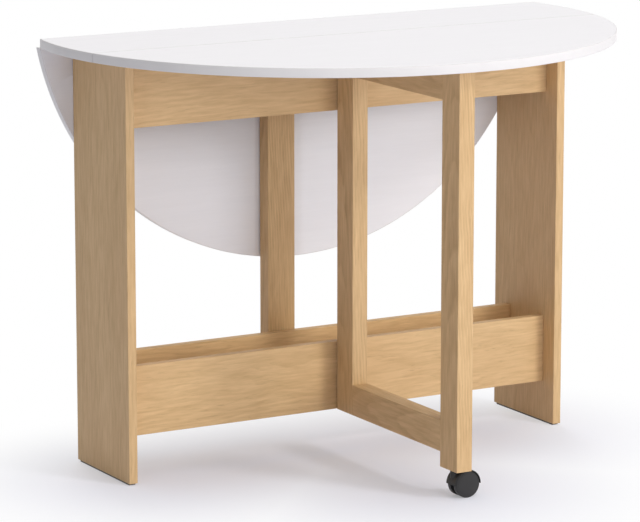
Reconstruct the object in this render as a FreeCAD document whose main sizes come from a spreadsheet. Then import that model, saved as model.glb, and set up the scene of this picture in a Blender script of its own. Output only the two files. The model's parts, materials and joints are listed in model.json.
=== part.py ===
"""Round folding table: a narrow two-panel frame, a fixed centre strip, two drop leaves and two gates on casters.

Frame: X along the table, Y from front to back, Z up from the floor. The shapes are drawn about the middle of
the frame, and each finished sub-part is then moved along Y so that the origin lies under the middle of the whole
table as it stands: front leaf up on its open gate, rear leaf hanging behind its folded gate.
"""

import FreeCAD, Part
import Sketcher
import math
import os
import re

SIZES = {
    # table top: a disc cut into a fixed centre strip and two leaves
    "tableHeight": 750,
    "topRadius": 511,
    "topOverhang": 71,
    "topThickness": 16,
    "seamGap": 1,
    "leafPlay": 1,
    # frame: two end panels and four rails
    "frameDepth": 200,
    "boardThickness": 16,
    "upperRailHeight": 123,
    "lowerRailHeight": 122,
    "lowerRailBottom": 77,
    "arris": 0.6,
    # glide strips under the end panels
    "glideWidth": 12,
    "glideHeight": 3,
    "glideInset": 6,
    # loose tenons: two between each rail and end panel, one at each corner of a gate
    "railTenonReach": 20,
    "railTenonCover": 6,
    "railTenonHeight": 24,
    "railTenonThickness": 6,
    "railTenonInset": 18,
    "gateTenonReach": 25,
    "gateTenonHeight": 30,
    "gateTenonThickness": 8,
    # brackets under the centre strip
    "bracketLeg": 22,
    "bracketWidth": 20,
    "bracketThickness": 2,
    "bracketOffset": 230,
    # butt hinges of the leaves and the gates
    "plateThickness": 1.2,
    "knuckleRadius": 2,
    "hingePinRadius": 1,
    "pinPlay": 0.05,
    "seatPlay": 0.3,
    "knuckleGap": 0.4,
    "swingPlay": 0.4,
    "leafHingeLength": 50,
    "leafHingeWidth": 28,
    "leafHingeOffset": 290,
    "gateHingeLength": 60,
    "gateHingeWidth": 25,
    # gates, with the rests on top and the stops under the leaves
    "gateThickness": 30,
    "gateMember": 54,
    "gatePivotOffset": 20.5,
    "gateEdgeOffset": 0.5,
    "gateEndPlay": 2,
    "gateTopGap": 3.5,
    "foldPlay": 0.2,
    "padLength": 40,
    "padWidth": 20,
    "padInset": 8,
    "padPlay": 0.2,
    "stopLength": 50,
    "stopWidth": 20,
    "stopThickness": 7,
    "stopPlay": 0.5,
    "stopSetout": 60,
    # hooded twin-wheel casters
    "casterHeight": 50.5,
    "casterInset": 31,
    "casterTrail": 18,
    "wheelRadius": 23,
    "wheelWidth": 11,
    "wheelCover": 3,
    "wheelPlay": 0.5,
    "wheelProud": 1,
    "axleRadius": 2.5,
    "endPlay": 0.3,
    "webThickness": 9,
    "axleBossRadius": 8,
    "hoodClearance": 0.7,
    "hoodThickness": 2,
    "stemRadius": 3.5,
    "stemDepth": 24.5,
    "stemBossRadius": 7.5,
    "stemBossHeight": 15.5,
    "neckGap": 1,
    "plugLength": 32,
}

DERIVED = {
    "frameLength": "2 * (topRadius - topOverhang)",
    "underside": "tableHeight - topThickness",
    "seamHalf": "frameDepth / 2 + leafPlay",
    "stripHalf": "seamHalf - seamGap / 2",
    "innerLength": "frameLength - 2 * boardThickness",
    "hingeReach": "knuckleRadius + seatPlay",
    "railSetback": "2 * hingeReach + gateThickness + plateThickness + foldPlay",
    "railFace": "frameDepth / 2 - railSetback",
    "railBack": "railFace - boardThickness",
    "railMiddle": "railFace - boardThickness / 2",
    "upperRailBottom": "underside - upperRailHeight",
    "upperRailMiddle": "underside - upperRailHeight / 2",
    "lowerRailMiddle": "lowerRailBottom + lowerRailHeight / 2",
    "gateAxis": "railFace + hingeReach",
    "gateMiddle": "hingeReach + gateThickness / 2",
    "gateFace": "hingeReach + gateThickness",
    "gateTop": "underside - gateTopGap",
    "gateEnd": "innerLength / 2 - gatePivotOffset - gateEndPlay",
    "casterSeat": "gateEnd - casterInset",
    "hoodBore": "wheelRadius + hoodClearance",
    "hoodRadius": "hoodBore + hoodThickness",
    "wheelFace": "webThickness / 2 + wheelPlay",
    "wheelBoreDepth": "wheelWidth - wheelCover",
    "hoodWidth": "2 * (wheelFace + wheelWidth - wheelProud)",
    "stemBossTop": "casterHeight - neckGap",
    "stemFoot": "stemBossTop - stemDepth + endPlay",
    "casterReach": "gateAxis + gateMiddle + casterTrail + hoodRadius",
    "frontReach": "max(topRadius; gateAxis + gateEnd)",
    "rearReach": "max(seamHalf + topThickness; casterReach)",
    "frameCentre": "(frontReach - rearReach) / 2",
}

ALIAS = re.compile(r"\b(" + "|".join([*SIZES, *DERIVED]) + r")\b")


def turn(x, y, z, angle):
    """A rotation about the axis x, y, z."""
    return FreeCAD.Rotation(FreeCAD.Vector(x, y, z), angle)


def facing(x_to, y_to, z_to):
    """The rotation that carries the three axes onto three others."""
    return FreeCAD.Rotation(*(FreeCAD.Vector(*axis) for axis in (x_to, y_to, z_to)), "XYZ")


AS_DRAWN = turn(0, 0, 1, 0)
HALF_TURN = turn(0, 0, 1, 180)
QUARTER_LEFT = turn(0, 0, 1, 90)
QUARTER_RIGHT = turn(0, 0, 1, -90)
TURNED_OVER = turn(1, 0, 0, 180)
RUNS_ALONG_X = turn(0, 1, 0, 90)
RUNS_TO_REAR = turn(1, 0, 0, -90)
RUNS_TO_FRONT = turn(1, 0, 0, 90)
PLATE_TO_REAR = facing((0, 1, 0), (0, 0, 1), (1, 0, 0))
PLATE_TO_FRONT = facing((0, -1, 0), (0, 0, 1), (-1, 0, 0))

doc = FreeCAD.newDocument("FoldingTable")
sheet = doc.addObject("Spreadsheet::Sheet", "Sizes")
sub_parts = []


def fill_sheet():
    """Give every driving size, and every size worked out from them, a cell with an alias."""
    for row, (alias, content) in enumerate([*SIZES.items(), *DERIVED.items()], start=1):
        sheet.set(f"A{row}", alias)
        sheet.set(f"B{row}", str(content) if alias in SIZES else f"={content}")
        sheet.setAlias(f"B{row}", alias)
    doc.recompute()


def linked(formula):
    """A formula with its aliases pointed at the sheet."""
    return ALIAS.sub(r"Sizes.\1", formula)


def value(formula):
    """The number a formula gives at present."""
    return float(sheet.evalExpression(linked(formula)))


def bind(thing, path, formula):
    """Tie a property to a formula."""
    thing.setExpression(path, linked(formula))


def place(thing, x="0", y="0", z="0", rotation=AS_DRAWN):
    """Turn a thing, and tie its position to formulas."""
    thing.Placement = FreeCAD.Placement(FreeCAD.Vector(), rotation)
    for axis, formula in zip("xyz", (x, y, z)):
        if formula != "0":
            bind(thing, f".Placement.Base.{axis}", formula)
    return thing


def cylinder(name, radius, length, x="0", y="0", z="0", rotation=AS_DRAWN):
    """A cylinder from a point, along Z as turned."""
    solid = doc.addObject("Part::Cylinder", name)
    bind(solid, "Radius", radius)
    bind(solid, "Height", length)
    return place(solid, x, y, z, rotation)


def block(name, corner, size):
    """A box from its lowest corner."""
    solid = doc.addObject("Part::Box", name)
    for side, formula in zip(("Length", "Width", "Height"), size):
        bind(solid, side, formula)
    return place(solid, *corner)


def copy_of(name, master, x="0", y="0", z="0", rotation=AS_DRAWN):
    """A linked copy of a master solid at a place of its own."""
    link = doc.addObject("App::Link", name)
    link.LinkedObject = master
    link.LinkTransform = False
    return place(link, x, y, z, rotation)


def gather(name, solids):
    """Several solids, kept apart, as one shape."""
    group = doc.addObject("Part::Compound", name)
    group.Links = solids
    return group


def fuse(name, solids):
    """Touching solids joined into one."""
    joined = doc.addObject("Part::MultiFuse", name)
    joined.Shapes = solids
    joined.Refine = True
    return joined


def carve(name, base, tools):
    """A solid with other solids taken out of it."""
    cut = doc.addObject("Part::Cut", name)
    cut.Base = base
    cut.Tool = tools[0] if len(tools) == 1 else gather(f"{name}_tools", tools)
    return cut


def sub_part(label, solids, x="0", y="0", z="0", rotation=AS_DRAWN):
    """A finished, named sub-part, set where it stands in the whole table."""
    finished = gather(f"{label}_node", solids)
    finished.Label = label
    sub_parts.append(finished)
    return place(finished, x, f"{y} + frameCentre", z, rotation)


def new_body(name):
    return doc.addObject("PartDesign::Body", name)


def sketch_on(body, role, offset="0"):
    """A sketch on one of the body's own origin planes, set off along that plane's normal."""
    drawing = body.newObject("Sketcher::SketchObject", f"{body.Name}_sketch")
    plane = next(f for f in body.Origin.OriginFeatures if f.Role == role)
    drawing.AttachmentSupport = [(plane, "")]
    drawing.MapMode = "FlatFace"
    if offset != "0":
        bind(drawing, ".AttachmentOffset.Base.z", offset)
    return drawing


def start(formula):
    """Where a sketch value is first drawn; a leading ~ marks one that other constraints settle."""
    return value(formula.lstrip("~"))


def hold(drawing, kind, *places, formula):
    """Add a sized constraint and tie it to a formula."""
    number = drawing.addConstraint(Sketcher.Constraint(kind, *places, start(formula)))
    bind(drawing, f"Constraints[{number}]", formula)


def pin_down(drawing, edge, point, x, y):
    """Hold a sketch point at x, y."""
    for kind, formula, across in (("DistanceX", x, -2), ("DistanceY", y, -1)):
        if formula == "0":
            drawing.addConstraint(Sketcher.Constraint("PointOnObject", edge, point, across))
        elif not formula.startswith("~"):
            hold(drawing, kind, -1, 1, edge, point, formula=formula)


def arc_between(first, last, centre):
    """The arc that turns left about a centre from one point to another."""
    swing = [math.atan2(p.y - centre.y, p.x - centre.x) for p in (first, last)]
    if swing[1] <= swing[0]:
        swing[1] += 2 * math.pi
    circle = Part.Circle(centre, FreeCAD.Vector(0, 0, 1), (first - centre).Length)
    return Part.ArcOfCircle(circle, *swing)


def outline(drawing, corners, arcs=None):
    """A closed outline that turns left. An edge numbered in arcs is (centre x, centre y, radius or None)."""
    arcs = arcs or {}
    points = [FreeCAD.Vector(start(x), start(y), 0) for x, y in corners]
    for number, first in enumerate(points):
        last = points[(number + 1) % len(points)]
        if number in arcs:
            centre = FreeCAD.Vector(*(start(formula) for formula in arcs[number][:2]), 0)
            drawing.addGeometry(arc_between(first, last, centre))
        else:
            drawing.addGeometry(Part.LineSegment(first, last))
    for number, corner in enumerate(corners):
        following = (number + 1) % len(corners)
        drawing.addConstraint(Sketcher.Constraint("Coincident", number, 2, following, 1))
        pin_down(drawing, number, 1, *corner)
    for number, (x, y, radius) in arcs.items():
        pin_down(drawing, number, 3, x, y)
        if radius:
            hold(drawing, "Radius", number, formula=radius)


def ring(drawing, x, y, radius):
    """A circle in a sketch."""
    centre = FreeCAD.Vector(value(x), value(y), 0)
    number = drawing.addGeometry(Part.Circle(centre, FreeCAD.Vector(0, 0, 1), value(radius)))
    pin_down(drawing, number, 3, x, y)
    hold(drawing, "Radius", number, formula=radius)


def pad(body, drawing, length, midplane=False):
    """Raise a sketch into a solid."""
    feature = body.newObject("PartDesign::Pad", f"{body.Name}_pad")
    feature.Profile = drawing
    feature.Midplane = midplane
    bind(feature, "Length", length)
    doc.recompute()
    return feature


def pocket(body, drawing, depth, backwards=False, midplane=False):
    """Sink a sketch into the solid, and make sure that it cuts."""
    before = body.Shape.Volume
    feature = body.newObject("PartDesign::Pocket", f"{body.Name}_pocket")
    feature.Profile = drawing
    feature.Reversed = backwards
    feature.Midplane = midplane
    bind(feature, "Length", depth)
    doc.recompute()
    if body.Shape.Volume >= before:
        raise RuntimeError(f"{feature.Name} cuts nothing")
    return feature


def turned(name, corners):
    """A body of revolution about Z, from its half outline of (radius, height) corners."""
    body = new_body(name)
    drawing = sketch_on(body, "XZ_Plane")
    outline(drawing, corners)
    feature = body.newObject("PartDesign::Revolution", f"{name}_turning")
    feature.Profile = drawing
    feature.ReferenceAxis = (drawing, ["V_Axis"])
    feature.Angle = 360
    doc.recompute()
    return body


def break_edges(body, blank, size):
    """Take the sharpness off every edge of a solid."""
    chamfer = body.newObject("PartDesign::Chamfer", f"{body.Name}_bevel")
    chamfer.Base = (blank, ["Edge1"])
    chamfer.UseAllEdges = True
    bind(chamfer, "Size", size)
    doc.recompute()


def board(name, corner, size):
    """A sawn board with every arris broken."""
    body = new_body(name)
    drawing = sketch_on(body, "XY_Plane", corner[2])
    near_x, near_y = corner[:2]
    far_x, far_y = f"{near_x} + {size[0]}", f"{near_y} + {size[1]}"
    outline(drawing, [(near_x, near_y), (far_x, near_y), (far_x, far_y), (near_x, far_y)])
    break_edges(body, pad(body, drawing, size[2]), "arris")
    return body


def make_glides():
    """A plastic glide strip along the foot of each end panel."""
    glides = [
        block(
            f"glide_{end}",
            (
                f"{x}(frameLength - boardThickness) / 2 - glideWidth / 2",
                "glideInset - frameDepth / 2",
                "0",
            ),
            ("glideWidth", "frameDepth - 2 * glideInset", "glideHeight"),
        )
        for end, x in (("left", "-"), ("right", ""))
    ]
    sub_part("floor_glides", glides)


def make_rail_tenons():
    """Two loose tenons at each end of the four rails, half in the rail and half in the panel."""
    seat = "(boardThickness - railTenonCover)"
    tenons = []
    for level, foot, height in (
        ("upper", "upperRailBottom", "upperRailHeight"),
        ("lower", "lowerRailBottom", "lowerRailHeight"),
    ):
        feet = {
            "low": f"{foot} + railTenonInset",
            "high": f"{foot} + {height} - railTenonInset - railTenonHeight",
        }
        for side, y in (("front", "-railMiddle"), ("rear", "railMiddle")):
            for end, x in (
                ("left", f"-innerLength / 2 - {seat}"),
                ("right", "innerLength / 2 - railTenonReach"),
            ):
                for place_on_rail, z in feet.items():
                    tenons.append(
                        block(
                            f"tenon_{level}_{side}_{end}_{place_on_rail}",
                            (x, f"{y} - railTenonThickness / 2", z),
                            (
                                f"railTenonReach + {seat}",
                                "railTenonThickness",
                                "railTenonHeight",
                            ),
                        )
                    )
    return gather("rail_tenons", tenons)


def make_frame():
    """The end panels and rails, mortised for the very tenons that join them."""
    tenons = make_rail_tenons()
    sub_part("rail_loose_tenons", [tenons])
    for name, x in (("left", "-frameLength / 2"), ("right", "innerLength / 2")):
        blank = board(
            f"{name}_panel_board",
            (x, "-frameDepth / 2", "glideHeight"),
            ("boardThickness", "frameDepth", "underside - glideHeight"),
        )
        sub_part(f"{name}_end_panel", [carve(f"{name}_panel", blank, [tenons])])
    for level, bottom in (("upper", "upperRailBottom"), ("lower", "lowerRailBottom")):
        for side, y in (("front", "-railFace"), ("rear", "railBack")):
            blank = board(
                f"{level}_{side}_board",
                ("-innerLength / 2", y, bottom),
                ("innerLength", "boardThickness", f"{level}RailHeight"),
            )
            sub_part(f"{level}_{side}_rail", [carve(f"{level}_{side}", blank, [tenons])])


def make_brackets():
    """Angle brackets that tie the centre strip to the upper rails."""
    bracket = new_body("bracket")
    drawing = sketch_on(bracket, "XZ_Plane")
    outline(
        drawing,
        [
            ("0", "0"),
            ("0", "-bracketLeg"),
            ("bracketThickness", "-bracketLeg"),
            ("bracketThickness", "-bracketThickness"),
            ("bracketLeg", "-bracketThickness"),
            ("bracketLeg", "0"),
        ],
    )
    pad(bracket, drawing, "bracketWidth", midplane=True)
    rails = [("front", "-railBack", QUARTER_LEFT), ("rear", "railBack", QUARTER_RIGHT)]
    copies = [
        copy_of(f"bracket_{side}_{end}", bracket, f"{x}bracketOffset", y, "underside", rotation)
        for side, y, rotation in rails
        for end, x in (("left", "-"), ("right", ""))
    ]
    sub_part("top_brackets", copies)


def hinge_plate(name, length, width, seat, pinned):
    """One plate of a two-knuckle butt hinge about Z, reaching along +X, with its seat face at y = seat.

    Its knuckle is the lower half, and the upper half is cut back for the other plate's. A pinned plate
    holds the pin, which runs on through the other plate's bore.
    """
    foot = f"-{length} / 2"
    flap = block(
        f"{name}_flap", ("0", f"{seat} - plateThickness", foot), (width, "plateThickness", length)
    )
    notch = block(
        f"{name}_notch",
        ("0", f"{seat} - plateThickness", "-knuckleGap / 2"),
        ("knuckleRadius + swingPlay", "plateThickness", f"({length} + knuckleGap) / 2"),
    )
    knuckle = cylinder(
        f"{name}_knuckle", "knuckleRadius", f"({length} - knuckleGap) / 2", z=foot
    )
    notched = carve(f"{name}_notched", flap, [notch])
    if pinned:
        return fuse(
            name, [notched, knuckle, cylinder(f"{name}_pin", "hingePinRadius", length, z=foot)]
        )
    rolled = fuse(f"{name}_rolled", [notched, knuckle])
    bore = cylinder(f"{name}_bore", "hingePinRadius + pinPlay", length, z=foot)
    return carve(name, rolled, [bore])


def relief(name, x, y="0", z="0"):
    """The room that a leaf hinge's knuckles need in the edges of both boards."""
    return cylinder(
        name,
        "knuckleRadius + swingPlay",
        "leafHingeLength + 2 * swingPlay",
        f"{x} - leafHingeLength / 2 - swingPlay",
        y,
        z,
        RUNS_ALONG_X,
    )


def make_leaf_hinges():
    """Two butt hinges to each leaf. Returns the plates of a leaf, and the reliefs of a leaf and the strip."""
    size = ("leafHingeLength", "leafHingeWidth", "0")
    fixed = hinge_plate("fixed_plate", *size, pinned=True)
    moving = hinge_plate("moving_plate", *size, pinned=False)
    spots = [("left", "-leafHingeOffset"), ("right", "leafHingeOffset")]
    seams = [("front", "-seamHalf", PLATE_TO_REAR), ("rear", "seamHalf", PLATE_TO_FRONT)]
    fixed_plates = [
        copy_of(f"fixed_plate_{side}_{end}", fixed, x, y, "underside", rotation)
        for side, y, rotation in seams
        for end, x in spots
    ]
    sub_part("leaf_hinge_fixed_plates", fixed_plates)
    moving_plates = [
        copy_of(f"moving_plate_{end}", moving, x, rotation=PLATE_TO_REAR) for end, x in spots
    ]
    strip_reliefs = [
        relief(f"strip_relief_{side}_{end}", x, y, "underside")
        for side, y, _ in seams
        for end, x in spots
    ]
    leaf_reliefs = [relief(f"leaf_relief_{end}", x) for end, x in spots]
    return gather("leaf_plates", moving_plates), leaf_reliefs, strip_reliefs


def make_gate_hinges():
    """Two butt hinges to each gate. Returns the plates that a gate carries."""
    size = ("gateHingeLength", "gateHingeWidth", "hingeReach")
    rail_plate = hinge_plate("rail_plate", *size, pinned=True)
    gate_plate = hinge_plate("gate_plate", *size, pinned=False)
    heights = [("upper", "upperRailMiddle"), ("lower", "lowerRailMiddle")]
    axes = [
        ("front", "gatePivotOffset", "-gateAxis", AS_DRAWN),
        ("rear", "-gatePivotOffset", "gateAxis", HALF_TURN),
    ]
    rail_plates = [
        copy_of(f"rail_plate_{side}_{level}", rail_plate, x, y, z, rotation)
        for side, x, y, rotation in axes
        for level, z in heights
    ]
    sub_part("gate_hinge_rail_plates", rail_plates)
    gate_plates = [
        copy_of(f"gate_plate_{level}", gate_plate, z=z, rotation=TURNED_OVER)
        for level, z in heights
    ]
    return gather("gate_plates", gate_plates)


def rim_x(y):
    """Half the width of the table top at a distance y from its middle."""
    return f"sqrt(topRadius ^ 2 - ({y}) ^ 2)"


def make_centre_strip(reliefs):
    """The fixed strip between the seams, with the table's own round ends."""
    strip = new_body("strip")
    drawing = sketch_on(strip, "XY_Plane", "underside")
    x = rim_x("stripHalf")
    rim = ("0", "0", "topRadius")
    outline(
        drawing,
        [
            (f"~{x}", "-stripHalf"),
            (f"~{x}", "stripHalf"),
            (f"~-{x}", "stripHalf"),
            (f"~-{x}", "-stripHalf"),
        ],
        {0: rim, 2: rim},
    )
    pad(strip, drawing, "topThickness")
    sub_part("centre_top", [carve("strip_relieved", strip, reliefs)])


def make_leaves(plates, reliefs):
    """Both drop leaves. Drawn flat: X along the hinge axis, Y out from the seam, Z = 0 at the underside."""
    half_moon = new_body("half_moon")
    drawing = sketch_on(half_moon, "XY_Plane")
    chord = "seamGap / 2"
    x = rim_x("seamHalf + seamGap / 2")
    outline(
        drawing,
        [(f"~{x}", chord), (f"~-{x}", chord)],
        {0: ("0", "-seamHalf", "topRadius")},
    )
    pad(half_moon, drawing, "topThickness")
    stop = block(
        "stop",
        ("gateFace - gatePivotOffset + stopPlay", "stopSetout", "-stopThickness"),
        ("stopWidth", "stopLength", "stopThickness"),
    )
    leaf = carve("leaf_relieved", half_moon, reliefs)
    for side, y, rotation in (("front", "-seamHalf", HALF_TURN), ("rear", "seamHalf", RUNS_TO_REAR)):
        where = ("0", y, "underside", rotation)
        sub_part(f"{side}_leaf", [leaf], *where)
        sub_part(f"{side}_leaf_hinge_plates", [plates], *where)
        sub_part(f"{side}_gate_stop", [stop], *where)


def make_gates(plates):
    """Both gates. Drawn folded: Z up the hinge axis from the floor, X out along the gate, its face at -Y.

    The caster's steel stem is fixed in the outer stile's foot, and the hood turns on its lower end.
    """
    face = "-gateFace"
    inner_joint, outer_joint = "gateEdgeOffset + gateMember", "gateEnd - gateMember"
    rails = {"top": "gateTop - gateMember", "bottom": "lowerRailBottom"}
    tenons = gather(
        "gate_tenons",
        [
            block(
                f"tenon_{level}_{end}",
                (
                    f"{joint} - gateTenonReach",
                    "-gateMiddle - gateTenonThickness / 2",
                    f"{foot} + (gateMember - gateTenonHeight) / 2",
                ),
                ("2 * gateTenonReach", "gateTenonThickness", "gateTenonHeight"),
            )
            for level, foot in rails.items()
            for end, joint in (("inner", inner_joint), ("outer", outer_joint))
        ],
    )
    inner = board(
        "inner_stile_board",
        ("gateEdgeOffset", face, "lowerRailBottom"),
        ("gateMember", "gateThickness", "gateTop - lowerRailBottom"),
    )
    outer = board(
        "outer_stile_board",
        (outer_joint, face, "casterHeight"),
        ("gateMember", "gateThickness", "gateTop - casterHeight"),
    )
    rest = block(
        "rest",
        ("gateEnd - padInset - padLength", "-gateMiddle - padWidth / 2", "gateTop"),
        ("padLength", "padWidth", "gateTopGap - padPlay"),
    )
    stem = cylinder(
        "stem",
        "stemRadius",
        "casterHeight + plugLength - stemFoot",
        "casterSeat",
        "-gateMiddle",
        "stemFoot",
    )
    members = {
        "inner_stile": carve("inner_stile", inner, [tenons]),
        "outer_stile": carve("outer_stile", outer, [tenons, stem]),
        "loose_tenons": tenons,
        "hinge_plates": plates,
        "support_pad": rest,
        "caster_stem": stem,
    }
    rail_length = f"{outer_joint} - ({inner_joint})"
    for level, foot in rails.items():
        blank = board(
            f"{level}_gate_board",
            (inner_joint, face, foot),
            (rail_length, "gateThickness", "gateMember"),
        )
        members[f"{level}_rail"] = carve(f"{level}_gate_rail", blank, [tenons])
    stands = {
        "front": ("gatePivotOffset", "-gateAxis", "0", QUARTER_RIGHT),
        "rear": ("-gatePivotOffset", "gateAxis", "0", HALF_TURN),
    }
    for side, where in stands.items():
        for name, solid in members.items():
            sub_part(f"{side}_gate_{name}", [solid], *where)


def make_wheel():
    """One wheel about Z: flat inner side on z = 0, level tread, and a closed cover over the bore."""
    return turned(
        "wheel",
        [
            ("axleRadius + pinPlay", "0"),
            ("wheelRadius", "0"),
            ("wheelRadius", "wheelWidth"),
            ("0", "wheelWidth"),
            ("0", "wheelBoreDepth"),
            ("axleRadius + pinPlay", "wheelBoreDepth"),
        ],
    )


def make_hood():
    """The moulded body: a half-round hood over both wheels, a middle web, and bosses for axle and stem."""
    hood = new_body("hood")
    axle = ("casterTrail", "wheelRadius")
    drawing = sketch_on(hood, "XZ_Plane")
    outline(
        drawing,
        [
            ("casterTrail + hoodRadius", "wheelRadius"),
            ("casterTrail - hoodRadius", "wheelRadius"),
        ],
        {0: ("~casterTrail", "wheelRadius", None)},
    )
    pad(hood, drawing, "hoodWidth", midplane=True)
    drawing = sketch_on(hood, "XY_Plane", "stemBossTop - stemBossHeight")
    ring(drawing, "0", "0", "stemBossRadius")
    pad(hood, drawing, "stemBossHeight")
    for offset, backwards in (("hoodWidth / 2", False), ("-hoodWidth / 2", True)):
        drawing = sketch_on(hood, "XZ_Plane", offset)
        ring(drawing, *axle, "hoodBore")
        pocket(hood, drawing, "(hoodWidth - webThickness) / 2", backwards)
    drawing = sketch_on(hood, "XZ_Plane")
    ring(drawing, *axle, "axleBossRadius")
    pad(hood, drawing, "webThickness", midplane=True)
    drawing = sketch_on(hood, "XZ_Plane")
    ring(drawing, *axle, "axleRadius")
    pocket(hood, drawing, "webThickness", midplane=True)
    drawing = sketch_on(hood, "XY_Plane", "stemBossTop")
    ring(drawing, "0", "0", "stemRadius + pinPlay")
    pocket(hood, drawing, "stemDepth")
    return hood


def make_casters():
    """Both casters. Drawn with the stem's axis on Z, the floor at Z = 0 and the wheels trailing along +X."""
    wheel = make_wheel()
    reach = "wheelFace + wheelBoreDepth - endPlay"
    x, z = "casterTrail", "wheelRadius"
    pieces = {
        "hood": make_hood(),
        "axle": cylinder(
            "axle", "axleRadius", f"2 * ({reach})", x, f"-({reach})", z, RUNS_TO_REAR
        ),
        "left_wheel": copy_of("left_wheel", wheel, x, "wheelFace", z, RUNS_TO_REAR),
        "right_wheel": copy_of("right_wheel", wheel, x, "-wheelFace", z, RUNS_TO_FRONT),
    }
    stands = {
        "front": ("gatePivotOffset - gateMiddle", "-gateAxis - casterSeat", "0", AS_DRAWN),
        "rear": ("-gatePivotOffset - casterSeat", "gateAxis + gateMiddle", "0", QUARTER_LEFT),
    }
    for side, where in stands.items():
        for name, solid in pieces.items():
            sub_part(f"{side}_caster_{name}", [solid], *where)


def check_document():
    """Stop if any object has failed or any sub-part's shape is missing or faulty."""
    failed = [thing.Name for thing in doc.Objects if {"Invalid", "Error"} & set(thing.State)]
    if failed:
        raise RuntimeError(f"failed objects: {failed}")
    for finished in sub_parts:
        shape = finished.Shape
        if shape.isNull() or not shape.Solids or not shape.isValid():
            raise RuntimeError(f"faulty shape: {finished.Label}")


def write_steps():
    os.makedirs("parts", exist_ok=True)
    for finished in sub_parts:
        finished.Shape.exportStep(os.path.join("parts", f"{finished.Label}.step"))


fill_sheet()
make_frame()
make_glides()
make_brackets()
leaf_plates, leaf_reliefs, strip_reliefs = make_leaf_hinges()
make_centre_strip(strip_reliefs)
make_leaves(leaf_plates, leaf_reliefs)
make_gates(make_gate_hinges())
make_casters()
doc.recompute()
check_document()
write_steps()
print(f"{len(sub_parts)} sub-parts written")
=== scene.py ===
import json
import math
import bmesh
import bpy
from mathutils import Matrix, Vector


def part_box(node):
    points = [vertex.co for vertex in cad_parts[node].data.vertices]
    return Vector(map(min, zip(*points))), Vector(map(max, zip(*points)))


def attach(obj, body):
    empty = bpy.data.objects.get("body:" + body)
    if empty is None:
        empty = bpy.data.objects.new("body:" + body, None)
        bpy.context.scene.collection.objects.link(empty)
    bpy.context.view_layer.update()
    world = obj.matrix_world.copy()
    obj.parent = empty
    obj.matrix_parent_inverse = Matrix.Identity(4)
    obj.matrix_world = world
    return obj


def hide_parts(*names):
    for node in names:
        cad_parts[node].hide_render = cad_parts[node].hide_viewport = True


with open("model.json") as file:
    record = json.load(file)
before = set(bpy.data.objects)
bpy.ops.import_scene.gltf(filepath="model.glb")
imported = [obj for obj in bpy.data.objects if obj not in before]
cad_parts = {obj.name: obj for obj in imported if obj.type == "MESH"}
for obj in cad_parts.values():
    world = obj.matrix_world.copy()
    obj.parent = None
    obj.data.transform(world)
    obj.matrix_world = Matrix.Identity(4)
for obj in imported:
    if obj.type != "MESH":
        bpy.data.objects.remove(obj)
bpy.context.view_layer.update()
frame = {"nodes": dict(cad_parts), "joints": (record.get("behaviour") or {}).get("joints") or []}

mm = 0.001
full = 2 * math.pi
sharpAngle = math.radians(28)  # edges that turn by more stay crisp

nodes = frame["nodes"]
joints = {joint["name"]: joint for joint in frame["joints"]}
topLow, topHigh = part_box("centre_top")
middleY = (topLow.y + topHigh.y) / 2  # the frame's own middle, a little behind the table's


camera = {
    "aim": (-0.0434, 0.1302, 0.3461),  # metres
    "azimuth": -29.78,  # degrees round from the front
    "elevation": 11.34,
    "distance": 6.35,
    "lens": 204.0,  # millimetres
    "sees": 60,  # metres
}


def setCamera():
    made = bpy.data.objects.new("camera", bpy.data.cameras.new("camera"))
    bpy.context.scene.collection.objects.link(made)
    azimuth, elevation = math.radians(camera["azimuth"]), math.radians(camera["elevation"])
    back = Vector((
        math.sin(azimuth) * math.cos(elevation),
        -math.cos(azimuth) * math.cos(elevation),
        math.sin(elevation),
    ))
    made.location = Vector(camera["aim"]) + back * camera["distance"]
    made.rotation_mode = "QUATERNION"
    made.rotation_quaternion = (-back).to_track_quat("-Z", "Y")
    made.data.lens = camera["lens"]
    made.data.clip_end = camera["sees"]
    bpy.context.scene.camera = made


def addNode(tree, kind, inputs=None, **settings):
    made = tree.nodes.new(kind)
    for name, value in settings.items():
        setattr(made, name, value)
    for key, value in (inputs or {}).items():
        if isinstance(value, bpy.types.NodeSocket):
            tree.links.new(value, made.inputs[key])
        else:
            made.inputs[key].default_value = value
    return made


def maths(tree, operation, first, second=0.0, third=0.0):
    inputs = {0: first, 1: second, 2: third}
    return addNode(tree, "ShaderNodeMath", inputs, operation=operation).outputs[0]


def vectorMaths(tree, operation, first, second):
    inputs = {0: first, 1: second}
    return addNode(tree, "ShaderNodeVectorMath", inputs, operation=operation).outputs[0]


def noise(tree, vector, scale, detail=2.0, roughness=0.5, distortion=0.0):
    inputs = {
        "Vector": vector, "Scale": scale, "Detail": detail,
        "Roughness": roughness, "Distortion": distortion,
    }
    return addNode(tree, "ShaderNodeTexNoise", inputs).outputs[0]


def spread(tree, value, low, high, bottom=0.0, top=1.0):
    inputs = {0: value, 1: low, 2: high, 3: bottom, 4: top}
    return addNode(tree, "ShaderNodeMapRange", inputs, clamp=True).outputs[0]


def blendColour(tree, factor, first, second):
    made = addNode(tree, "ShaderNodeMix", data_type="RGBA")
    for key, value in ((0, factor), (6, first), (7, second)):
        if isinstance(value, bpy.types.NodeSocket):
            tree.links.new(value, made.inputs[key])
        else:
            made.inputs[key].default_value = value if key == 0 else (*value, 1)
    return made.outputs[2]


def newMaterial(name):
    made = bpy.data.materials.new(name)
    made.use_nodes = True
    return made, made.node_tree, made.node_tree.nodes["Principled BSDF"]


def connect(tree, output, shader, socket):
    tree.links.new(output, shader.inputs[socket])


def bump(tree, shader, height, strength, distance):
    inputs = {"Height": height, "Strength": strength, "Distance": distance}
    connect(tree, addNode(tree, "ShaderNodeBump", inputs).outputs[0], shader, "Normal")


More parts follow.
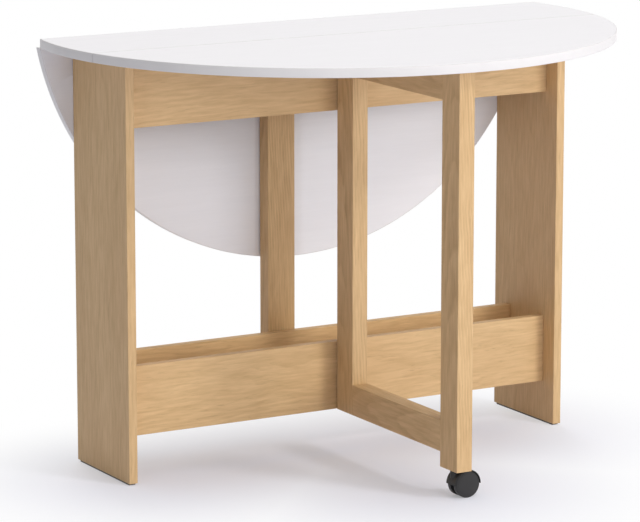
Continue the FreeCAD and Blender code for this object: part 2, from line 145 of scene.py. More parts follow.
oak = {
    "pale": (0.735, 0.507, 0.265),
    "deep": (0.53, 0.342, 0.163),
    "rosy": (0.64, 0.415, 0.21),  # a warmer tint that comes and goes along the board
    "pore": (0.30, 0.18, 0.085),
    "knot": (0.26, 0.15, 0.07),
    "rough": (0.46, 0.62),
    "gloss": 0.35,
    "relief": (0.25, 0.00025),  # strength, and depth in metres
    # a ring's dark line fades over its first part, and the next line starts near its end
    "ringsPerMetre": 190,
    "ringFade": 0.7,
    "ringStart": 0.88,
    "heartOffset": 0.09,  # metres from the middle of the board to the heart of the tree
    "heartStray": 0.02,  # metres to either side
    "tilt": 0.05,  # how far the cut strays from the fibres
    # how fine each pattern is across, through and along the fibres
    "fibres": (240, 240, 19),
    "pores": (620, 620, 50),
    "figure": (16, 16, 2.6),
    "tint": (9, 9, 4),
    "fading": (30, 30, 7),
    "knots": (7, 7, 3),
    "waves": (9, 9, 4.5),
    "waveReach": 0.014,
    "ripples": (38, 38, 16),
    "rippleReach": 0.006,
    # where each pattern starts and where it is full, and what it gives there
    "steps": {
        "fibres": (0.34, 0.66),
        "pores": (0.58, 0.70),
        "figure": (0.25, 0.75),
        "tint": (0.45, 0.75, 0.0, 0.45),
        "fading": (0.35, 0.62, 0.15, 1.0),
        "knots": (0.07, 0.02),
    },
    "shares": {"fibres": 0.55, "figure": 0.34, "pore": 0.4, "knot": 0.6},  # how much each darkens
    "poresBetween": 0.2,  # share of the pores that lie off the dark lines
    "knotsLeftOut": 0.6,  # share of the pattern's cells that stay clear
}
grainOrder = {"x": (2, 1, 0), "y": (2, 0, 1), "z": (1, 0, 2)}  # across, through, along


def grainNoise(tree, place, scale, seed, detail=2.0, roughness=0.5):
    scaled = vectorMaths(tree, "MULTIPLY", place, scale)
    inputs = {"Vector": scaled, "Scale": 1.0, "W": seed, "Detail": detail, "Roughness": roughness}
    return addNode(tree, "ShaderNodeTexNoise", inputs, noise_dimensions="4D").outputs


def sway(tree, place, scale, reach, seed):
    # push a place sideways, more or less along its length
    push = grainNoise(tree, place, scale, seed)["Color"]
    push = vectorMaths(tree, "SUBTRACT", push, (0.5, 0.5, 0.5))
    return vectorMaths(tree, "ADD", place, vectorMaths(tree, "MULTIPLY", push, (reach, reach, 0)))


def oakFinish(name, board, grain, seed, toneAndPaintedLight=1.0, ringShare=0.2):
    made, tree, shader = newMaterial(name)
    steps, shares = oak["steps"], oak["shares"]
    low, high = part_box(board)
    place = addNode(tree, "ShaderNodeTexCoord").outputs["Object"]
    place = vectorMaths(tree, "SUBTRACT", place, (low + high) / 2)
    parts = addNode(tree, "ShaderNodeSeparateXYZ", {0: place}).outputs
    across, through, along = (parts[number] for number in grainOrder[grain])
    straight = addNode(tree, "ShaderNodeCombineXYZ", {0: across, 1: through, 2: along}).outputs[0]
    curved = sway(tree, straight, oak["waves"], oak["waveReach"], seed)
    grainPlace = sway(tree, curved, oak["ripples"], oak["rippleReach"], seed)

    # growth rings about the heart of the tree, which runs a little askew through the board
    parts = addNode(tree, "ShaderNodeSeparateXYZ", {0: grainPlace}).outputs
    across = maths(tree, "ADD", parts[0], oak["heartStray"] * math.sin(7 * seed))
    through = maths(tree, "MULTIPLY_ADD", parts[2], oak["tilt"], parts[1])
    through = maths(tree, "ADD", through, oak["heartOffset"])
    radius = maths(tree, "MULTIPLY", through, through)
    radius = maths(tree, "SQRT", maths(tree, "MULTIPLY_ADD", across, across, radius))
    turn = maths(tree, "FRACT", maths(tree, "MULTIPLY", radius, oak["ringsPerMetre"]))
    early = maths(tree, "SUBTRACT", 1.0, spread(tree, turn, 0.0, oak["ringFade"]))
    rings = maths(tree, "MAXIMUM", early, spread(tree, turn, oak["ringStart"], 1.0))
    fading = grainNoise(tree, straight, oak["fading"], seed + 5)[0]  # the rings come and go
    rings = maths(tree, "MULTIPLY", rings, spread(tree, fading, *steps["fading"]))

    figure = grainNoise(tree, grainPlace, oak["figure"], seed, 3.0, 0.55)[0]
    tint = grainNoise(tree, straight, oak["tint"], seed)[0]
    fibres = grainNoise(tree, grainPlace, oak["fibres"], seed, 4.0, 0.55)[0]
    pores = grainNoise(tree, grainPlace, oak["pores"], seed)[0]
    poreMask = spread(tree, pores, *steps["pores"])
    poreMask = maths(tree, "MULTIPLY", poreMask, spread(tree, rings, 0.0, 1.0, oak["poresBetween"], 1.0))

    # a few small knots
    scaled = vectorMaths(tree, "MULTIPLY", grainPlace, oak["knots"])
    inputs = {"Vector": scaled, "W": seed, "Scale": 1.0}
    cells = addNode(tree, "ShaderNodeTexVoronoi", inputs, voronoi_dimensions="4D").outputs
    chosen = addNode(tree, "ShaderNodeSeparateColor", {0: cells["Color"]}).outputs[0]
    chosen = maths(tree, "GREATER_THAN", chosen, oak["knotsLeftOut"])
    knotMask = maths(tree, "MULTIPLY", spread(tree, cells["Distance"], *steps["knots"]), chosen)

    share = maths(tree, "MULTIPLY", spread(tree, figure, *steps["figure"]), shares["figure"])
    share = maths(tree, "MULTIPLY_ADD", rings, ringShare, share)
    share = maths(tree, "MULTIPLY_ADD", spread(tree, fibres, *steps["fibres"]), shares["fibres"], share)
    # each board's own tone scales its colours; on the lower rear rail the lift is painted light
    pale, deep, rosy = ([value * toneAndPaintedLight for value in oak[key]] for key in ("pale", "deep", "rosy"))
    colour = blendColour(tree, share, pale, deep)
    colour = blendColour(tree, spread(tree, tint, *steps["tint"]), colour, rosy)
    colour = blendColour(tree, maths(tree, "MULTIPLY", poreMask, shares["pore"]), colour, oak["pore"])
    colour = blendColour(tree, maths(tree, "MULTIPLY", knotMask, shares["knot"]), colour, oak["knot"])
    connect(tree, colour, shader, "Base Color")
    connect(tree, spread(tree, fibres, 0.2, 0.8, *oak["rough"]), shader, "Roughness")
    shader.inputs["Specular IOR Level"].default_value = oak["gloss"]
    bump(tree, shader, maths(tree, "MULTIPLY_ADD", poreMask, -1.0, fibres), *oak["relief"])
    return made


laminates = {
    "whiteLaminate": {"pale": (0.885, 0.865, 0.885), "deep": (0.86, 0.84, 0.86)},
    "backingSheet": {"pale": (0.87, 0.87, 0.89), "deep": (0.84, 0.84, 0.86)},
}
laminateGrain = {
    "broad": (3, 60, 60),  # how fine along X, Y and Z
    "fine": (18, 360, 360),
    "broadShare": 0.6,
    "fineShare": 0.4,
    "rough": (0.36, 0.46),
    "relief": (0.08, 0.0001),
}


def laminateFinish(name):
    look = {**laminateGrain, **laminates[name]}
    made, tree, shader = newMaterial(name)
    place = addNode(tree, "ShaderNodeTexCoord").outputs["Object"]
    broad = noise(tree, vectorMaths(tree, "MULTIPLY", place, look["broad"]), 1.0, 4.0, 0.6, 0.4)
    fine = noise(tree, vectorMaths(tree, "MULTIPLY", place, look["fine"]), 1.0, 3.0, 0.6)
    share = maths(tree, "MULTIPLY", spread(tree, broad, 0.3, 0.7), look["broadShare"])
    share = maths(tree, "MULTIPLY_ADD", spread(tree, fine, 0.35, 0.65), look["fineShare"], share)
    connect(tree, blendColour(tree, share, look["pale"], look["deep"]), shader, "Base Color")
    connect(tree, spread(tree, fine, 0.3, 0.7, *look["rough"]), shader, "Roughness")
    bump(tree, shader, fine, *look["relief"])
    return made


plastics = {
    "blackPlastic": {"colour": (0.012, 0.0115, 0.011), "rough": (0.44, 0.57), "grain": 900},
    "wheelPlastic": {"colour": (0.024, 0.023, 0.023), "rough": (0.42, 0.54), "grain": 700},
    "palePlastic": {"colour": (0.74, 0.73, 0.70), "rough": (0.40, 0.52), "grain": 800},
    # the glides are painted dark: a painted contact shadow along the foot of each end panel
    "glidePaintedShadow": {"colour": (0.06, 0.055, 0.05), "rough": (0.5, 0.62), "grain": 800},
    # the edge band's colour sits below the top's: the band's own colour darkened further as painted shade on
    # the rim
    "edgeBandPaintedShade": {"colour": (0.74, 0.72, 0.705), "rough": (0.34, 0.42), "grain": 500, "shade": 0.97},
}
plasticGrain = {"shade": 0.86, "cloud": 25.0, "relief": (0.10, 0.00006)}


def plasticFinish(name):
    look = {**plasticGrain, **plastics[name]}
    made, tree, shader = newMaterial(name)
    place = addNode(tree, "ShaderNodeTexCoord").outputs["Object"]
    grain = noise(tree, place, look["grain"], 3.0, 0.6)
    cloud = spread(tree, noise(tree, place, look["cloud"]), 0.3, 0.7)
    darker = [value * look["shade"] for value in look["colour"]]
    connect(tree, blendColour(tree, cloud, look["colour"], darker), shader, "Base Color")
    connect(tree, spread(tree, grain, 0.3, 0.7, *look["rough"]), shader, "Roughness")
    bump(tree, shader, grain, *look["relief"])
    return made


metals = {
    "hingeSteel": {"colour": (0.60, 0.59, 0.57), "rough": (0.26, 0.42), "brush": (60, 900, 900)},
    "zincSteel": {"colour": (0.66, 0.67, 0.69), "rough": (0.30, 0.48), "brush": (300, 300, 300)},
}
metalGrain = {"shade": 0.82, "relief": (0.12, 0.00004)}


def metalFinish(name):
    look = {**metalGrain, **metals[name]}
    made, tree, shader = newMaterial(name)
    place = addNode(tree, "ShaderNodeTexCoord").outputs["Object"]
    brushed = noise(tree, vectorMaths(tree, "MULTIPLY", place, look["brush"]), 1.0, 3.0)
    darker = [value * look["shade"] for value in look["colour"]]
    connect(tree, blendColour(tree, brushed, look["colour"], darker), shader, "Base Color")
    connect(tree, spread(tree, brushed, 0.3, 0.7, *look["rough"]), shader, "Roughness")
    shader.inputs["Metallic"].default_value = 1.0
    bump(tree, shader, brushed, *look["relief"])
    return made


def shadeSmooth(data):
    data.polygons.foreach_set("use_smooth", [True] * len(data.polygons))
    data.set_sharp_from_angle(angle=sharpAngle)


def meshObject(name, bm, material, smooth=True):
    data = bpy.data.meshes.new(name)
    bmesh.ops.recalc_face_normals(bm, faces=bm.faces[:])
    bm.to_mesh(data)
    bm.free()
    made = bpy.data.objects.new(name, data)
    bpy.context.scene.collection.objects.link(made)
    data.materials.append(material)
    if smooth:
        shadeSmooth(data)
    return made


def settle(made):
    # bake the modifiers into the mesh
    bpy.context.view_layer.update()
    graph = bpy.context.evaluated_depsgraph_get()
    data = bpy.data.meshes.new_from_object(made.evaluated_get(graph))
    data.name = made.name
    made.modifiers.clear()
    made.data = data


def combine(made, others, operation):
    # join or cut with other closed meshes, which are used up
    for other in others:
        cut = made.modifiers.new("combine", "BOOLEAN")
        cut.operation = operation
        cut.solver = "EXACT"
        cut.object = other
    settle(made)
    for other in others:
        bpy.data.objects.remove(other)


def bevel(made, width):
    edge = made.modifiers.new("bevel", "BEVEL")
    edge.width = width
    edge.segments = 1
    edge.limit_method = "ANGLE"
    edge.angle_limit = math.radians(35)
    settle(made)
    shadeSmooth(made.data)


def turnedPart(name, profile, steps, material, matrix, sweep=full, closed=False):
    # turn (radius, height) points about Z; closed joins the last point of the profile to the first
    bm = bmesh.new()
    columns = []
    for step in range(steps if sweep == full else steps + 1):
        angle = sweep * step / steps
        column = []
        for radius, height in profile:
            if radius == 0 and columns:
                column.append(columns[0][len(column)])
            else:
                column.append(bm.verts.new((radius * math.cos(angle), radius * math.sin(angle), height)))
        columns.append(column)
    for step in range(steps):
        first, second = columns[step], columns[(step + 1) % len(columns)]
        for row in range(len(profile) if closed else len(profile) - 1):
            after = (row + 1) % len(profile)
            corners = []  # two of the four are one point on the axis
            for vert in (first[row], second[row], second[after], first[after]):
                if vert not in corners:
                    corners.append(vert)
            if len(corners) > 2:
                bm.faces.new(corners)
    if closed and sweep != full:
        bm.faces.new(columns[0])
        bm.faces.new(columns[-1][::-1])
    gaps = [edge for edge in bm.edges if edge.is_boundary]
    if gaps:
        bmesh.ops.contextual_create(bm, geom=gaps)
    bm.transform(matrix)
    return meshObject(name, bm, material)


def roundedCorner(centre, radius, start, sweep, steps):
    points = []
    for step in range(steps + 1):
        angle = math.radians(start + sweep * step / steps)
        points.append((centre[0] + radius * math.cos(angle), centre[1] + radius * math.sin(angle)))
    return points


def prism(name, outline, low, high, material, matrix):
    bm = bmesh.new()
    base = bm.faces.new([bm.verts.new((x, y, low)) for x, y in outline])
    raised = bmesh.ops.extrude_face_region(bm, geom=[base])
    verts = [part for part in raised["geom"] if isinstance(part, bmesh.types.BMVert)]
    bmesh.ops.translate(bm, verts=verts, vec=(0, 0, high - low))
    bm.transform(matrix)
    return meshObject(name, bm, material)


def dress(made, body, slot, *replaced):
    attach(made, body)
    if replaced:
        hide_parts(*replaced)


oakBoards = {
    "left_end_panel": {"grain": "z", "seed": 1.3, "toneAndPaintedLight": 0.97},
    "right_end_panel": {"grain": "z", "seed": 4.1},
    "upper_front_rail": {"grain": "x", "seed": 2.6},
    "upper_rear_rail": {"grain": "x", "seed": 7.2},
    "lower_front_rail": {"grain": "x", "seed": 5.4, "toneAndPaintedLight": 1.02},
    # 1.08 lightens this rail: painted light on its inner face, which lies in shade between the lower rails
    "lower_rear_rail": {"grain": "x", "seed": 9.9, "toneAndPaintedLight": 1.08},
}
gateOak = {
    "front": {"seed": 11.5, "railGrain": "y"},
    "rear": {"seed": 23.7, "railGrain": "x"},
    "seedStep": 2.3,
    "ringShare": 0.55,  # small members show more of the rings
}
beech = {"grain": "x", "seed": 31.0, "toneAndPaintedLight": 0.92, "ringShare": 0.1}


def paint(name, material):
    data = nodes[name].data
    if not data.materials:
        data.materials.append(material)
    for slot in nodes[name].material_slots:
        slot.material = material


def paintBoards():
    for name, look in oakBoards.items():
        paint(name, oakFinish(f"oak_{name}", name, **look))
    for side in ("front", "rear"):
        for number, member in enumerate(("inner_stile", "outer_stile", "top_rail", "bottom_rail")):
            board = f"{side}_gate_{member}"
            grain = "z" if member.endswith("stile") else gateOak[side]["railGrain"]
            seed = gateOak[side]["seed"] + gateOak["seedStep"] * number
            paint(board, oakFinish(f"oak_{board}", board, grain, seed, ringShare=gateOak["ringShare"]))
    for name in ("rail_loose_tenons", "front_gate_loose_tenons", "rear_gate_loose_tenons"):
        paint(name, oakFinish(f"beech_{name}", name, **beech))


tableTop = {
    "seam": 1 * mm,  # gap between the strip and a leaf
    "band": 1 * mm,  # thickness of the edge band
    "edge": 0.9 * mm,  # rounding of its arrises
    "core": 0.2 * mm,  # bevel of the board's faces along the band
    "arcStep": 1.5,  # degrees
    "reliefRadius": 2.4 * mm,  # room for the knuckles of the hinges
    "reliefLength": 50.8 * mm,
    "hingeAt": 290 * mm,
}
hingeXs = (-tableTop["hingeAt"], tableTop["hingeAt"])
hingeY = (topHigh.y - topLow.y) / 2 + tableTop["seam"] / 2  # the hinge axes lie in the middle of the seams


def discOutline(radius, arcs):
    # arcs of one disc, in degrees, joined by chords into a closed loop that turns left
    points = []
    for start, end in arcs:
        steps = max(2, round(abs(end - start) / tableTop["arcStep"]))
        for step in range(steps + 1):
            angle = math.radians(start + (end - start) * step / steps)
            points.append((radius * math.cos(angle), radius * math.sin(angle)))
    return points


def stripOutline(inset, radius, half):
    radius, half = radius - inset, half - inset
    reach = math.degrees(math.asin(half / radius))
    return discOutline(radius, ((-reach, reach), (180 - reach, 180 + reach)))


def leafOutline(inset, radius, chord):
    # drawn with the seam along X at y = chord, and the rim out to +Y
    radius, chord = radius - inset, chord + inset
    reach = math.degrees(math.asin(chord / radius))
    return discOutline(radius, ((reach, 180 - reach),))


def ringBand(name, outer, inner, thickness, material, matrix):
    # edge band: the gap between two outlines, with rounded outer arrises
    edge = tableTop["edge"]
    corners = roundedCorner((edge, edge), edge, 270, -90, 4)
    corners += roundedCorner((edge, thickness - edge), edge, 180, -90, 4)
    levels = [(1.0, 0)] + [(x / tableTop["band"], z) for x, z in corners] + [(1.0, thickness)]
    outer = [Vector(point) for point in outer]
    inward = [Vector(point) - outer[number] for number, point in enumerate(inner)]
    bm = bmesh.new()
    rows = [
        [bm.verts.new((*(point + way * share), z)) for point, way in zip(outer, inward)]
        for share, z in levels
    ]
    for row, first in enumerate(rows):
        second = rows[(row + 1) % len(rows)]
        for number in range(len(outer)):
            after = (number + 1) % len(outer)
            bm.faces.new((first[number], first[after], second[after], second[number]))
    bm.transform(matrix)
    return meshObject(name, bm, material)


def cutReliefs(made, places):
    radius, half = tableTop["reliefRadius"], tableTop["reliefLength"] / 2
    profile = [(0, -half), (radius, -half), (radius, half), (0, half)]
    lying = Matrix.Rotation(math.pi / 2, 4, "Y")
    material = made.data.materials[0]
    cutters = [turnedPart("cutter", profile, 32, material, place @ lying) for place in places]
    combine(made, cutters, "DIFFERENCE")


def backTheBoard(board, matrix, backing):
    # the side that faces down on a raised leaf has a greyer sheet
    board.data.materials.append(backing)
    down = matrix.to_3x3() @ Vector((0, 0, -1))
    for face in board.data.polygons:
        if face.normal.dot(down) > 0.99:
            face.material_index = 1


def makeTop(white, bandPaintedShade, backing):
    radius = topHigh.x
    thickness = topHigh.z - topLow.z
    stripHalf = (topHigh.y - topLow.y) / 2
    chord = hingeY + tableTop["seam"] / 2
    level = Matrix.Translation((0, middleY, topLow.z))
    hanging = (
        Matrix.Translation((0, middleY + hingeY, topLow.z))
        @ Matrix.Rotation(-math.pi / 2, 4, "X")
        @ Matrix.Translation((0, -hingeY, 0))
    )
    stripSpots = [(x, y) for x in hingeXs for y in (-hingeY, hingeY)]
    leafSpots = [(x, hingeY) for x in hingeXs]
    front = level @ Matrix.Rotation(math.pi, 4, "Z")
    jobs = [
        ("centreTop", "frame", "centre_top", stripOutline, stripHalf, level, stripSpots),
        ("frontLeaf", "front_leaf_body", "front_leaf", leafOutline, chord, front, leafSpots),
        ("rearLeaf", "rear_leaf_body", "rear_leaf", leafOutline, chord, hanging, leafSpots),
    ]
    for name, body, node, outline, reach, matrix, spots in jobs:
        outer = outline(0, radius, reach)
        inner = outline(tableTop["band"], radius, reach)
        board = prism(name, inner, 0, thickness, white, matrix)
        bevel(board, tableTop["core"])
        # the band's material carries painted shade on the rim
        band = ringBand(f"{name}Band", outer, inner, thickness, bandPaintedShade, matrix)
        places = [matrix @ Matrix.Translation((x, y, 0)) for x, y in spots]
        cutReliefs(board, places)
        cutReliefs(band, places)
        backTheBoard(board, matrix, backing)
        dress(board, body, "white_board", node)
        dress(band, body, "white_board")


caster = {
    "trail": 18 * mm,
    "wheelRadius": 23 * mm,
    "wheelFace": 5 * mm,  # from the middle of the caster to a wheel's inner side
    "axleRadius": 2.5 * mm,
}
wheel = {
    "width": 11 * mm,
    "boreDepth": 8 * mm,
    "borePlay": 0.05 * mm,
    "hubRadius": 6 * mm,
    "hubFoot": 6.8 * mm,  # its radius at the bottom of the dish
    "dishDepth": 2.2 * mm,
    "dishSlope": 1 * mm,
    "dishRim": 0.4 * mm,
    "innerRound": 0.8 * mm,
    "treadRound": 1.6 * mm,
    "treadFall": 0.3 * mm,  # from the foot of the cover to the tread's rounding
    "coverRadius": 20 * mm,
    "coverCrown": 1.3 * mm,
    "crownPower": 2.2,  # above 2 it is flatter in the middle
    "crownSteps": 10,
    "grooveDepth": 0.35 * mm,
    "grooveOutside": 0.25 * mm,  # the groove about the cover, from the cover's radius
    "grooveInside": 0.15 * mm,
    "coverInset": 0.25 * mm,
}


def wheelMesh(name, material, matrix):
    # drawn with the inner side on z = 0 and the domed cover up
    radius, cover, crown = caster["wheelRadius"], wheel["coverRadius"], wheel["coverCrown"]
    inside, rounding, dish = wheel["innerRound"], wheel["treadRound"], wheel["dishDepth"]
    bore = caster["axleRadius"] + wheel["borePlay"]
    shoulder = wheel["width"] - crown  # height where the dome meets the tread
    bottom = shoulder - wheel["grooveDepth"]
    profile = [(0, wheel["boreDepth"]), (bore, wheel["boreDepth"]), (bore, 0)]
    profile += [(wheel["hubRadius"], 0), (wheel["hubFoot"], dish)]
    profile += [(cover - wheel["dishSlope"], dish), (cover, wheel["dishRim"])]
    profile += roundedCorner((radius - inside, inside), inside, 270, 90, 3)
    centre = (radius - rounding, shoulder - rounding - wheel["treadFall"])
    profile += roundedCorner(centre, rounding, 0, 78, 5)
    profile += [(cover + wheel["grooveOutside"], bottom), (cover - wheel["grooveInside"], bottom)]
    for step in range(wheel["crownSteps"] + 1):
        share = 1 - step / wheel["crownSteps"]
        height = shoulder + crown * (1 - share ** wheel["crownPower"])
        profile.append(((cover - wheel["coverInset"]) * share, height))
    return turnedPart(name, profile, 72, material, matrix)


hood = {
    "inner": 23.7 * mm,
    "outer": 25.7 * mm,
    "half": 15 * mm,
    "rounding": 1.7 * mm,
    "webHalf": 4.5 * mm,
    "webOverlap": 0.6 * mm,
    "axleBoss": 8 * mm,
    "neckRadius": 7.5 * mm,
    "neckFoot": 34 * mm,
    "neckTop": 49.5 * mm,
    "neckRound": 1.2 * mm,
    "stemBore": 3.55 * mm,
    "stemDepth": 24.5 * mm,
    "cutPast": 1 * mm,  # how far a cutter stands out of what it cuts
}


def hoodMesh(name, material, matrix):
    # drawn with the axle along Y, the stem's axis on Z and the wheels trailing along +X
    inner, outer, half, rounding = hood["inner"], hood["outer"], hood["half"], hood["rounding"]
    toAxle = Matrix.Translation((caster["trail"], 0, caster["wheelRadius"]))
    upright = toAxle @ Matrix.Rotation(math.pi / 2, 4, "X")  # the axis of turning becomes the axle

    def disc(part, radius, low, high, steps, place, sweep=full):
        profile = [(0, low), (radius, low), (radius, high), (0, high)]
        return turnedPart(part, profile, steps, material, place, sweep)

    shell = [(inner, -half), (inner, half)]
    shell += roundedCorner((outer - rounding, half - rounding), rounding, 90, -90, 5)
    shell += roundedCorner((outer - rounding, rounding - half), rounding, 0, -90, 5)
    made = turnedPart(name, shell, 60, material, upright, math.pi, closed=True)
    web = hood["webHalf"]
    fin = disc("fin", inner + hood["webOverlap"], -web, web, 60, upright, math.pi)
    boss = disc("boss", hood["axleBoss"], -web, web, 48, upright)
    top, edge = hood["neckTop"], hood["neckRound"]
    profile = [(0, hood["neckFoot"]), (hood["neckRadius"], hood["neckFoot"])]
    profile += roundedCorner((hood["neckRadius"] - edge, top - edge), edge, 0, 90, 4) + [(0, top)]
    neck = turnedPart("neck", profile, 48, material, Matrix())
    combine(made, [fin, boss, neck], "UNION")
    past = hood["cutPast"]
    bore = disc("bore", hood["stemBore"], top - hood["stemDepth"], top + past, 32, Matrix())
    hole = disc("hole", caster["axleRadius"], -web - past, web + past, 32, upright)
    combine(made, [bore, hole], "DIFFERENCE")
    made.data.transform(matrix)
    shadeSmooth(made.data)
    return made


def makeCasters(hoodBlack, wheelBlack):
    for side, turn in (("front", 0.0), ("rear", math.pi / 2)):
        swivel = Vector(joints[f"{side}_caster_swivel"]["pos_m"])
        stand = Matrix.Translation((swivel.x, swivel.y, 0)) @ Matrix.Rotation(turn, 4, "Z")
        made = hoodMesh(f"{side}CasterHood", hoodBlack, stand)
        dress(made, f"{side}_caster", "black_plastic", f"{side}_caster_hood")
        for hand, sign in (("left", 1), ("right", -1)):
            place = (
                stand
                @ Matrix.Translation((caster["trail"], sign * caster["wheelFace"], caster["wheelRadius"]))
                @ Matrix.Rotation(-sign * math.pi / 2, 4, "X")
            )
            made = wheelMesh(f"{side}{hand.title()}Wheel", wheelBlack, place)
            dress(made, f"{side}_{hand}_wheel", "black_plastic", f"{side}_caster_{hand}_wheel")


screw = {
    "headRadius": 3.4 * mm,
    "headRise": 0.15 * mm,
    "headEdge": 0.1 * mm,
    "coneDepth": 0.8 * mm,
    "recessReach": 1.9 * mm,
    "recessWidth": 0.75 * mm,
    "recessDepth": 0.5 * mm,
}


def screwMaster(material):
    # a countersunk head with a cross recess, seated on z = 0
    radius, rise, cone = screw["headRadius"], screw["headRise"], screw["coneDepth"]
    profile = [(0, -cone), (radius - cone, -cone), (radius, 0), (radius - screw["headEdge"], rise * 0.35)]
    profile += [(radius * 0.7, rise * 0.8), (radius * 0.35, rise), (0, rise)]
    head = turnedPart("screwMaster", profile, 28, material, Matrix())
    long, wide = screw["recessReach"], screw["recessWidth"] / 2
    outline = [(-long, -wide), (long, -wide), (long, wide), (-long, wide)]
    bars = []
    for number in range(2):
        turned = Matrix.Rotation(number * math.pi / 2, 4, "Z")
        bottom = rise - screw["recessDepth"]
        bars.append(prism(f"bar{number}", outline, bottom, rise + 1 * mm, material, turned))
    combine(head, bars, "DIFFERENCE")
    return head


def screwGroup(name, master, places, body):
    bm = bmesh.new()
    count = len(master.data.vertices)
    for matrix in places:
        bm.from_mesh(master.data)
        bmesh.ops.transform(bm, matrix=matrix, verts=bm.verts[-count:])
    dress(meshObject(name, bm, master.data.materials[0]), body, "zinc")


def facingMatrix(point, normal, spin):
    turned = Vector(normal).to_track_quat("Z", "Y").to_matrix().to_4x4()
    return Matrix.Translation(point) @ turned @ Matrix.Rotation(spin, 4, "Z")


# reach: from the axis to the screws; span: between them; stagger: how far the middle one stands back
leafHinge = {"reach": 17 * mm, "span": 17 * mm, "stagger": 4 * mm, "plate": 1.2 * mm}
gateHinge = {"reach": 15 * mm, "span": 21 * mm, "stagger": 4 * mm, "plate": 1.1 * mm}
bracket = {"at": 230 * mm, "wall": 48 * mm, "screwAt": 13 * mm, "thick": 2 * mm}


def hingeRows(hinge):
    return [(-hinge["span"], 0), (0, hinge["stagger"]), (hinge["span"], 0)]


def leafHingeScrews(master):
    fixed, front, rear = [], [], []
    low = topLow.z - leafHinge["plate"]
    for x in hingeXs:
        for number, (offset, back) in enumerate(hingeRows(leafHinge)):
            spin = 0.7 * number + 3 * x  # no two of a row are turned alike
            reach = leafHinge["reach"] + back
            for sign in (-1, 1):
                spot = (x + offset, middleY + sign * (hingeY - reach), low)
                fixed.append(facingMatrix(spot, (0, 0, -1), spin + sign))
            spot = (x + offset, middleY - hingeY - reach, low)
            front.append(facingMatrix(spot, (0, 0, -1), spin + 2))
            spot = (x + offset, middleY + hingeY - leafHinge["plate"], topLow.z - reach)
            rear.append(facingMatrix(spot, (0, -1, 0), spin + 4))
    screwGroup("stripHingeScrews", master, fixed, "frame")
    screwGroup("frontLeafHingeScrews", master, front, "front_leaf_body")
    screwGroup("rearLeafHingeScrews", master, rear, "rear_leaf_body")


def gateHingeScrews(master):
    railPlaces, gatePlaces = [], {"front": [], "rear": []}
    plate = gateHinge["plate"]
    heights = [sum(corner.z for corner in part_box(f"{level}_front_rail")) / 2 for level in ("upper", "lower")]
    for side, sign in (("front", 1), ("rear", -1)):
        pivot = Vector(joints[f"{side}_gate_swing"]["pos_m"])
        for height in heights:
            for number, (offset, back) in enumerate(hingeRows(gateHinge)):
                reach = gateHinge["reach"] + back
                spin = 0.9 * number + height
                spot = (pivot.x + sign * reach, pivot.y + sign * plate, height + offset)
                railPlaces.append(facingMatrix(spot, (0, -sign, 0), spin))
                if side == "front":  # this gate stands open, the other is folded
                    spot, normal = (pivot.x - plate, pivot.y - reach, height + offset), (1, 0, 0)
                else:
                    spot, normal = (pivot.x - reach, pivot.y + plate, height + offset), (0, -1, 0)
                gatePlaces[side].append(facingMatrix(spot, normal, spin + 1))
    screwGroup("railHingeScrews", master, railPlaces, "frame")
    for side, places in gatePlaces.items():
        screwGroup(f"{side}GateHingeScrews", master, places, f"{side}_gate")


def bracketScrews(master):
    places = []
    for x in (-bracket["at"], bracket["at"]):
        for sign in (-1, 1):
            wall = middleY + sign * bracket["wall"]
            spot = (x, wall - sign * bracket["thick"], topLow.z - bracket["screwAt"])
            places.append(facingMatrix(spot, (0, -sign, 0), x))
            spot = (x, wall - sign * bracket["screwAt"], topLow.z - bracket["thick"])
            places.append(facingMatrix(spot, (0, 0, -1), x + 1))
    screwGroup("bracketScrews", master, places, "frame")


def makeScrews(zinc):
    master = screwMaster(zinc)
    leafHingeScrews(master)
    gateHingeScrews(master)
    bracketScrews(master)
    bpy.data.objects.remove(master)


studio = {
    "floorColour": (0.83, 0.838, 0.955),
    "floorRough": 0.8,
    "floorGloss": 0.1,
    "floorHalf": 9.0,
    # painted light: the floor glows white for the camera, least along these lines and fully at fadeReach from
    # them, which lifts its shadows away from the table
    "fadeLines": (  # the floor fades to white away from the frame and the gate: middle, half length
        ((-0.056, 0.109, 0), (0.305, 0, 0)),
        ((-0.018, -0.077, 0), (0, 0.096, 0)),
    ),
    "fadeReach": 0.48,  # metres to the white
    "fadeStart": 0.24,  # share of white along the lines
    "worldLight": 0.39,
    "lampAim": (0, 0, 0.4),
    "lamps": {  # only the one with gloss shows in the sheen, so the low ones leave no glare on the top
        "front": {"at": (1.6, -4.85, 1.35), "size": (3.4, 2.2), "power": 124, "colour": (1, 0.99, 0.98)},
        "key": {"at": (2.0, -3.9, 3.7), "size": (0.9, 0.9), "power": 68},
        "overhead": {"at": (0.0, -1.0, 7.0), "size": (4.0, 4.0), "power": 116, "gloss": True},
        "rear": {"at": (1.4, 4.5, 3.8), "size": (2.5, 2.5), "power": 72},
    },
}


def cameraWhite(tree):
    # 1 for what the lens, a mirror or clear glass sees
    path = addNode(tree, "ShaderNodeLightPath").outputs
    seen = maths(tree, "MAXIMUM", path["Is Camera Ray"], path["Is Glossy Ray"])
    return maths(tree, "MAXIMUM", seen, path["Is Transmission Ray"])


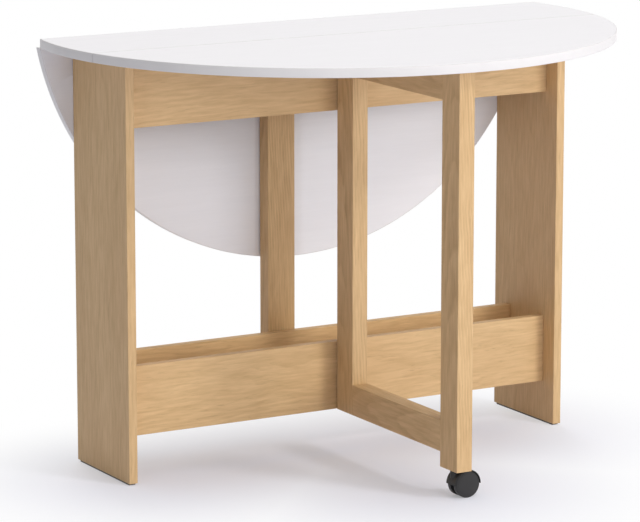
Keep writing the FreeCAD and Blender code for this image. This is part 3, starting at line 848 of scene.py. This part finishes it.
def makeFloor():
    bm = bmesh.new()
    bmesh.ops.create_grid(bm, x_segments=8, y_segments=8, size=studio["floorHalf"])
    made, tree, shader = newMaterial("studioFloor")
    floor = meshObject("floor", bm, made, smooth=False)
    shader.inputs["Base Color"].default_value = (*studio["floorColour"], 1)
    shader.inputs["Roughness"].default_value = studio["floorRough"]
    shader.inputs["Specular IOR Level"].default_value = studio["floorGloss"]
    place = addNode(tree, "ShaderNodeTexCoord").outputs["Object"]
    distances = []
    for middle, half in studio["fadeLines"]:
        away = vectorMaths(tree, "ABSOLUTE", vectorMaths(tree, "SUBTRACT", place, middle), (0, 0, 0))
        away = vectorMaths(tree, "MAXIMUM", vectorMaths(tree, "SUBTRACT", away, half), (0, 0, 0))
        length = addNode(tree, "ShaderNodeVectorMath", {0: away}, operation="LENGTH")
        distances.append(length.outputs["Value"])
    distance = maths(tree, "MINIMUM", *distances)
    inputs = {0: distance, 1: 0.0, 2: studio["fadeReach"], 3: studio["fadeStart"], 4: 1.0}
    fade = addNode(tree, "ShaderNodeMapRange", inputs, interpolation_type="SMOOTHSTEP").outputs[0]
    # painted light: a white glow mixed into the floor for the camera
    white = addNode(tree, "ShaderNodeEmission", {"Color": (1, 1, 1, 1), "Strength": 1.0})
    share = maths(tree, "MULTIPLY", fade, cameraWhite(tree))
    mixed = addNode(tree, "ShaderNodeMixShader", {0: share, 1: shader.outputs[0], 2: white.outputs[0]})
    tree.links.new(mixed.outputs[0], tree.nodes["Material Output"].inputs["Surface"])


def makeWorld():
    world = bpy.data.worlds.new("studio")
    bpy.context.scene.world = world
    world.use_nodes = True
    tree = world.node_tree
    back = tree.nodes["Background"]
    back.inputs["Color"].default_value = (1, 1, 1, 1)
    strength = spread(tree, cameraWhite(tree), 0.0, 1.0, studio["worldLight"], 1.0)
    connect(tree, strength, back, "Strength")


def makeLamps():
    for name, lamp in studio["lamps"].items():
        data = bpy.data.lights.new(name, "AREA")
        data.shape = "RECTANGLE"
        data.size, data.size_y = lamp["size"]
        data.energy = lamp["power"]
        data.color = lamp.get("colour", (1, 1, 1))
        made = bpy.data.objects.new(name, data)
        made.location = lamp["at"]
        made.visible_glossy = lamp.get("gloss", False)
        made.rotation_mode = "QUATERNION"
        aim = Vector(studio["lampAim"]) - Vector(lamp["at"])
        made.rotation_quaternion = aim.to_track_quat("-Z", "Y")
        bpy.context.scene.collection.objects.link(made)


print("camera and studio")
bpy.context.scene.view_settings.view_transform = "Standard"
setCamera()
makeFloor()
makeWorld()
makeLamps()
print("oak boards")
paintBoards()
print("table top")
makeTop(laminateFinish("whiteLaminate"), plasticFinish("edgeBandPaintedShade"), laminateFinish("backingSheet"))
print("fittings")
steel, zinc = metalFinish("hingeSteel"), metalFinish("zincSteel")
for name in (
    "leaf_hinge_fixed_plates", "front_leaf_hinge_plates", "rear_leaf_hinge_plates",
    "gate_hinge_rail_plates", "front_gate_hinge_plates", "rear_gate_hinge_plates",
    "front_caster_axle", "rear_caster_axle", "front_gate_caster_stem", "rear_gate_caster_stem",
):
    paint(name, steel)
paint("top_brackets", zinc)
pale = plasticFinish("palePlastic")
for name in ("front_gate_stop", "rear_gate_stop", "front_gate_support_pad", "rear_gate_support_pad"):
    paint(name, pale)
# dark glides give a painted contact shadow under the end panels
paint("floor_glides", plasticFinish("glidePaintedShadow"))
makeScrews(zinc)
print("casters")
makeCasters(plasticFinish("blackPlastic"), plasticFinish("wheelPlastic"))
print("done")
